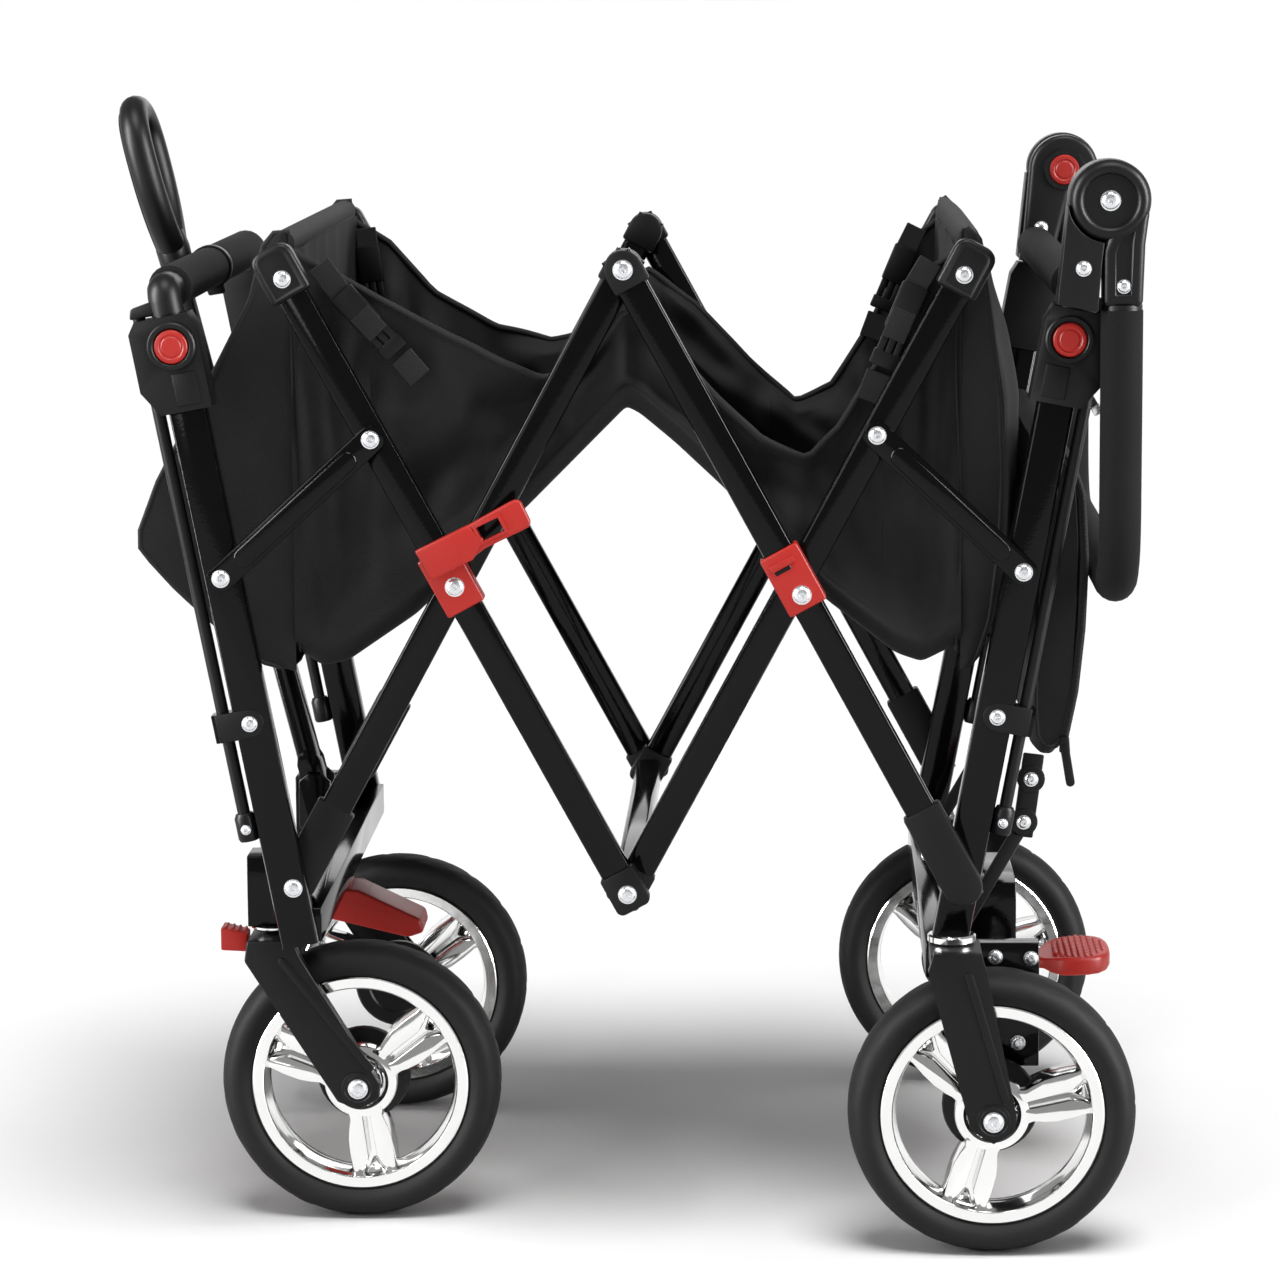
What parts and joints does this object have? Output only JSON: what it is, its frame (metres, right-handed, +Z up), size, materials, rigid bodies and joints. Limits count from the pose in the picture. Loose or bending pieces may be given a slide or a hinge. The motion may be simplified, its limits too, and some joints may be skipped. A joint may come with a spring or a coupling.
{
  "type": "folding wagon",
  "caption": "Folding beach cart half folded: scissor-bar frame, cloth basket, swivel casters in front, fixed wheels behind, pull handle and folded push handle.",
  "frame": {"origin": "under the middle of the cart's box, on the ground", "axes": "+Z up, +X towards the push-handle end, -X towards the pull handle, -Y the side with the latch"},
  "size_m": [0.7472, 0.574, 0.8166],
  "materials": {
    "black_steel": "gloss powder coat",
    "black_plastic": "satin moulded",
    "foam": "fine-grained foam sleeve",
    "cloth": "woven polyester",
    "red_plastic": "satin moulded",
    "tyre": "dull rubber",
    "rim": "plated"
  },
  "bodies": {
    "front_frame": {"post_front_near": "black_steel", "post_front_far": "black_steel", "socket_front_near": "black_plastic", "socket_front_far": "black_plastic", "front_cross_tube": "black_steel"},
    "front_inner": {"bar_front_inner_near": "black_steel", "bar_front_inner_far": "black_steel", "basket_trough": "cloth"},
    "front_outer": {"bar_front_outer_near": "black_steel", "bar_front_outer_far": "black_steel", "latch_sleeve": "red_plastic"},
    "rear_outer": {"bar_rear_outer_near": "black_steel", "bar_rear_outer_far": "black_steel", "catch_sleeve": "red_plastic"},
    "rear_inner": {"bar_rear_inner_near": "black_steel", "bar_rear_inner_far": "black_steel", "centre_cross_tube": "black_steel"},
    "rear_frame": {"post_rear_near": "black_steel", "post_rear_far": "black_steel", "socket_rear_near": "black_plastic", "socket_rear_far": "black_plastic", "rear_cross_tube": "black_steel", "fork_rear_near": "black_plastic", "fork_rear_far": "black_plastic", "rear_bag": "cloth"},
    "front_stays": {"stay_front_near": "black_steel", "stay_front_far": "black_steel"},
    "rear_stays": {"stay_rear_near": "black_steel", "stay_rear_far": "black_steel"},
    "front_panel": {"basket_front_panel": "cloth"},
    "rear_panel": {"basket_rear_panel": "cloth"},
    "front_bail": {"front_bail": "foam"},
    "push_frame": {"push_frame": "black_plastic"},
    "push_handle": {"push_handle": "foam", "push_knuckle_near": "black_plastic", "push_knuckle_far": "black_plastic"},
    "pull_pole": {"pull_pole": "black_steel"},
    "pull_grip": {"pull_grip": "black_plastic"},
    "front_pedal": {"front_pedal": "red_plastic"},
    "brake_pedal": {"brake_pedal": "red_plastic"},
    "latch_lever": {"latch_lever": "red_plastic"},
    "height_button_front_near": {"height_button_front_near": "red_plastic"},
    "wheel_front_near": {"tyre_front_near": "tyre", "rim_front_near": "rim"},
    "height_button_front_far": {"height_button_front_far": "red_plastic"},
    "wheel_front_far": {"tyre_front_far": "tyre", "rim_front_far": "rim"},
    "height_button_rear_near": {"height_button_rear_near": "red_plastic"},
    "wheel_rear_near": {"tyre_rear_near": "tyre", "rim_rear_near": "rim"},
    "height_button_rear_far": {"height_button_rear_far": "red_plastic"},
    "wheel_rear_far": {"tyre_rear_far": "tyre", "rim_rear_far": "rim"},
    "knuckle_button_near": {"knuckle_button_near": "red_plastic"},
    "caster_near": {"fork_front_near": "black_plastic"},
    "caster_lock_near": {"caster_lock_near": "red_plastic"},
    "knuckle_button_far": {"knuckle_button_far": "red_plastic"},
    "caster_far": {"fork_front_far": "black_plastic"},
    "caster_lock_far": {"caster_lock_far": "red_plastic"}
  },
  "joints": [
    {"name": "fold", "type": "hinge", "parent": "front_frame", "child": "front_inner", "pos_m": [-0.22389, 0, 0.2642], "axis": [0, 1, 0], "range_deg": [-18, 18], "deforming": ["basket_trough"]},
    {"name": "front_crossing", "type": "hinge", "parent": "front_inner", "child": "front_outer", "pos_m": [-0.10746, 0, 0.47863], "axis": [0, 1, 0], "range_deg": [-37, 37]},
    {"name": "centre_top", "type": "hinge", "parent": "front_inner", "child": "rear_outer", "pos_m": [0.01183, 0, 0.69834], "axis": [0, 1, 0], "range_deg": [-37, 37]},
    {"name": "rear_crossing", "type": "hinge", "parent": "rear_outer", "child": "rear_inner", "pos_m": [0.13112, 0, 0.47863], "axis": [0, 1, 0], "range_deg": [-37, 37]},
    {"name": "rear_foot", "type": "hinge", "parent": "rear_outer", "child": "rear_frame", "pos_m": [0.24755, 0, 0.2642], "axis": [0, 1, 0], "range_deg": [-19, 19]},
    {"name": "front_stay_turn", "type": "hinge", "parent": "front_frame", "child": "front_stays", "pos_m": [-0.26585, 0, 0.48627], "axis": [0, 1, 0], "range_deg": [-29.44, 29.44]},
    {"name": "rear_stay_turn", "type": "hinge", "parent": "rear_frame", "child": "rear_stays", "pos_m": [0.28951, 0, 0.48627], "axis": [0, 1, 0], "range_deg": [-29.44, 29.44]},
    {"name": "front_panel_hang", "type": "hinge", "parent": "front_outer", "child": "front_panel", "pos_m": [-0.22675, 0, 0.69834], "axis": [0, 1, 0], "range_deg": [-19, 19]},
    {"name": "rear_panel_hang", "type": "hinge", "parent": "rear_inner", "child": "rear_panel", "pos_m": [0.25041, 0, 0.69834], "axis": [0, 1, 0], "range_deg": [-19, 19]},
    {"name": "bail_height", "type": "slide", "parent": "front_frame", "child": "front_bail", "axis": [-0.1857, 0, 0.9826], "range_m": [0, 0.05]},
    {"name": "push_frame_height", "type": "slide", "parent": "rear_frame", "child": "push_frame", "axis": [0.1857, 0, 0.9826], "range_m": [0, 0.05]},
    {"name": "push_handle_turn", "type": "hinge", "parent": "push_frame", "child": "push_handle", "pos_m": [0.34583, 0, 0.745], "axis": [0, 1, 0], "range_deg": [-169, 0]},
    {"name": "height_button_front_near", "type": "slide", "parent": "front_frame", "child": "height_button_front_near", "axis": [0, 1, 0], "range_m": [0, 0.003], "stiffness_N_per_m": 600, "springref_m": -0.0015},
    {"name": "height_button_front_far", "type": "slide", "parent": "front_frame", "child": "height_button_front_far", "axis": [0, -1, 0], "range_m": [0, 0.003], "stiffness_N_per_m": 600, "springref_m": -0.0015},
    {"name": "height_button_rear_near", "type": "slide", "parent": "rear_frame", "child": "height_button_rear_near", "axis": [0, 1, 0], "range_m": [0, 0.003], "stiffness_N_per_m": 600, "springref_m": -0.0015},
    {"name": "height_button_rear_far", "type": "slide", "parent": "rear_frame", "child": "height_button_rear_far", "axis": [0, -1, 0], "range_m": [0, 0.003], "stiffness_N_per_m": 600, "springref_m": -0.0015},
    {"name": "knuckle_button_near", "type": "slide", "parent": "push_frame", "child": "knuckle_button_near", "axis": [0, -1, 0], "range_m": [0, 0.003], "stiffness_N_per_m": 600, "springref_m": -0.0015},
    {"name": "knuckle_button_far", "type": "slide", "parent": "push_frame", "child": "knuckle_button_far", "axis": [0, 1, 0], "range_m": [0, 0.003], "stiffness_N_per_m": 600, "springref_m": -0.0015},
    {"name": "pull_pole_turn", "type": "hinge", "parent": "front_frame", "child": "pull_pole", "pos_m": [-0.23417, 0, 0.29], "axis": [0, 1, 0], "range_deg": [-80, 0]},
    {"name": "pull_grip_extend", "type": "slide", "parent": "pull_pole", "child": "pull_grip", "axis": [-0.2402, 0, 0.9707], "range_m": [0, 0.09]},
    {"name": "swivel_near", "type": "hinge", "parent": "front_frame", "child": "caster_near", "pos_m": [-0.25017, -0.16, 0.225], "axis": [0, 0, 1], "continuous": true},
    {"name": "front_spin_near", "type": "hinge", "parent": "caster_near", "child": "wheel_front_near", "pos_m": [-0.18717, -0.16, 0.102], "axis": [0, 1, 0], "continuous": true},
    {"name": "caster_lock_near", "type": "hinge", "parent": "caster_near", "child": "caster_lock_near", "pos_m": [-0.26847, -0.16, 0.21], "axis": [0, 1, 0], "range_deg": [0, 20]},
    {"name": "swivel_far", "type": "hinge", "parent": "front_frame", "child": "caster_far", "pos_m": [-0.25017, 0.16, 0.225], "axis": [0, 0, 1], "continuous": true},
    {"name": "front_spin_far", "type": "hinge", "parent": "caster_far", "child": "wheel_front_far", "pos_m": [-0.18717, 0.16, 0.102], "axis": [0, 1, 0], "continuous": true},
    {"name": "caster_lock_far", "type": "hinge", "parent": "caster_far", "child": "caster_lock_far", "pos_m": [-0.26847, 0.16, 0.21], "axis": [0, 1, 0], "range_deg": [0, 20]},
    {"name": "rear_spin_near", "type": "hinge", "parent": "rear_frame", "child": "wheel_rear_near", "pos_m": [0.26883, -0.25, 0.102], "axis": [0, 1, 0], "continuous": true},
    {"name": "rear_spin_far", "type": "hinge", "parent": "rear_frame", "child": "wheel_rear_far", "pos_m": [0.26883, 0.25, 0.102], "axis": [0, 1, 0], "continuous": true},
    {"name": "front_pedal_turn", "type": "hinge", "parent": "front_frame", "child": "front_pedal", "pos_m": [-0.22017, 0, 0.2135], "axis": [0, 1, 0], "range_deg": [-8, 8]},
    {"name": "brake_pedal_turn", "type": "hinge", "parent": "rear_frame", "child": "brake_pedal", "pos_m": [0.29633, 0, 0.168], "axis": [0, 1, 0], "range_deg": [0, 18]},
    {"name": "latch_turn", "type": "hinge", "parent": "front_outer", "child": "latch_lever", "pos_m": [-0.10746, -0.267, 0.47863], "axis": [0, 1, 0], "range_deg": [-25, 30]}
  ],
  "couplings": [
    {"joint": "front_crossing", "follows": "fold", "ratio": -2},
    {"joint": "centre_top", "follows": "fold", "ratio": -2},
    {"joint": "rear_crossing", "follows": "fold", "ratio": 2},
    {"joint": "rear_foot", "follows": "fold", "ratio": 1},
    {"joint": "front_stay_turn", "follows": "fold", "ratio": 1.58},
    {"joint": "rear_stay_turn", "follows": "fold", "ratio": -1.58},
    {"joint": "front_panel_hang", "follows": "fold", "ratio": 1},
    {"joint": "rear_panel_hang", "follows": "fold", "ratio": -1}
  ]
}
